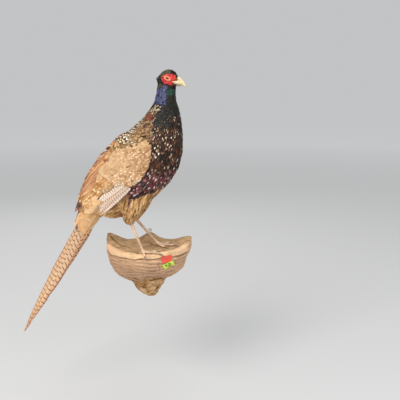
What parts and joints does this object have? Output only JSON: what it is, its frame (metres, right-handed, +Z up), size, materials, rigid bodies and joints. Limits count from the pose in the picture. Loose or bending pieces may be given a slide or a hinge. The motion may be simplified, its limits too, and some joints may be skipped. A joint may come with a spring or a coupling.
{
  "type": "taxidermy pheasant on wall console",
  "caption": "Cock pheasant mounted upright with its long tail hanging, standing on a half-round bracket-fungus console that hangs on a wall.",
  "frame": {"origin": "middle of the console's flat back, on the wall plane, 50 mm below the level that the bird's frame stands on", "axes": "+Y runs into the wall, +X the way the bird faces, +Z up"},
  "size_m": [0.4615, 0.1604, 0.6944],
  "materials": {
    "head_feathers": "short dark greenish-black feathers with a soft gloss",
    "neck_feathers": "glossy blue-violet and dark green feathers",
    "body_feathers": "dark feathers with cream drops and chestnut edges",
    "tail_cover_feathers": "plain orange-buff loose feathers",
    "thigh_feathers": "fluffy brown and buff mottled feathers",
    "wing_feathers": "straw-buff feathers with fine brown scaling",
    "flight_feathers": "pinkish-white quills barred grey-brown",
    "tail_feathers": "long buff feathers with dark bars",
    "bare_skin": "bright red wrinkled matt skin",
    "bill": "ivory horn, satin",
    "eye": "clear glass over an orange-brown iris",
    "leg_scales": "pinkish-buff dry scaly skin",
    "claw": "dark horn",
    "fungus": "dry woody fungus with growth zones, matt varnish",
    "fungus_core": "rough ochre-brown old bark",
    "hanger_metal": "dull bright metal",
    "red_paper": "plain red paper label",
    "yellow_paper": "bright yellow-green paper label"
  },
  "bodies": {
    "root": {"head": "head_feathers", "neck": "neck_feathers", "trunk": "body_feathers", "tail_coverts": "tail_cover_feathers", "bill_upper": "bill", "bill_lower": "bill", "tail_middle": "tail_feathers", "thigh_right": "thigh_feathers", "shank_right": "leg_scales", "foot_right": "leg_scales", "spur_right": "claw", "claw_inner_right": "claw", "claw_middle_right": "claw", "claw_outer_right": "claw", "claw_hind_right": "claw", "eye_right": "eye", "wattle_right": "bare_skin", "wing_right": "wing_feathers", "flight_feathers_right": "flight_feathers", "tail_side_right": "tail_feathers", "thigh_left": "thigh_feathers", "shank_left": "leg_scales", "foot_left": "leg_scales", "spur_left": "claw", "claw_inner_left": "claw", "claw_middle_left": "claw", "claw_outer_left": "claw", "claw_hind_left": "claw", "eye_left": "eye", "wattle_left": "bare_skin", "wing_left": "wing_feathers", "flight_feathers_left": "flight_feathers", "tail_side_left": "tail_feathers", "console": "fungus", "console_knob": "fungus_core", "hanger_eye": "hanger_metal", "hanger_nail": "hanger_metal", "label_red": "red_paper", "label_yellow": "yellow_paper"}
  },
  "joints": []
}
